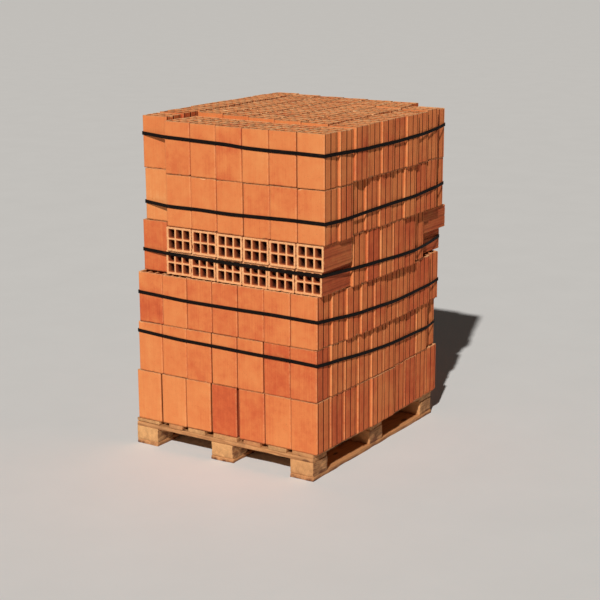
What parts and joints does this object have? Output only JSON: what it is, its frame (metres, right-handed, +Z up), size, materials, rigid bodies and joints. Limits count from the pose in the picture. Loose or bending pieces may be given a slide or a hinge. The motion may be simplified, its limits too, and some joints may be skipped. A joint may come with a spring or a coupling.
{
  "type": "pallet of bricks",
  "caption": "Wooden block pallet stacked with layers of hollow clay bricks, most standing on end and some lying with their holes facing out, each upper layer held by a flat strap.",
  "frame": {"origin": "on the floor, under the middle of the load's outline", "axes": "+X along the front to the right, +Y from the front to the back, +Z up"},
  "size_m": [0.8644, 0.9464, 1.2636],
  "materials": {
    "clay": "fired, unglazed terracotta, matt, with extrusion grooves on the narrow sides",
    "pallet_wood": "rough-sawn softwood, unpainted",
    "strapping": "flat black packing strap, matt"
  },
  "bodies": {
    "root": {"bricks_layer_1": "clay", "bricks_layer_2": "clay", "bricks_layer_3": "clay", "bricks_layer_4_upright": "clay", "bricks_layer_5": "clay", "bricks_layer_6": "clay", "lying_brick_back_lower": "clay", "lying_brick_back_upper": "clay", "lying_brick_beside_corner": "clay", "lying_brick_near_corner": "clay", "lying_bricks_front_lower": "clay", "lying_bricks_front_upper": "clay", "pallet_block_left_back": "pallet_wood", "pallet_block_left_front": "pallet_wood", "pallet_block_left_middle": "pallet_wood", "pallet_block_middle_back": "pallet_wood", "pallet_block_middle_front": "pallet_wood", "pallet_block_middle_middle": "pallet_wood", "pallet_block_right_back": "pallet_wood", "pallet_block_right_front": "pallet_wood", "pallet_block_right_middle": "pallet_wood", "pallet_bottom_board_left": "pallet_wood", "pallet_bottom_board_middle": "pallet_wood", "pallet_bottom_board_right": "pallet_wood", "pallet_cross_board_back": "pallet_wood", "pallet_cross_board_front": "pallet_wood", "pallet_cross_board_middle": "pallet_wood", "pallet_deck_board_1": "pallet_wood", "pallet_deck_board_2": "pallet_wood", "pallet_deck_board_3": "pallet_wood", "pallet_deck_board_4": "pallet_wood", "pallet_deck_board_5": "pallet_wood", "pallet_deck_board_6": "pallet_wood", "pallet_deck_board_7": "pallet_wood", "strap_layer_2": "strapping", "strap_layer_3": "strapping", "strap_layer_4": "strapping", "strap_layer_5": "strapping", "strap_layer_6": "strapping"}
  },
  "joints": []
}
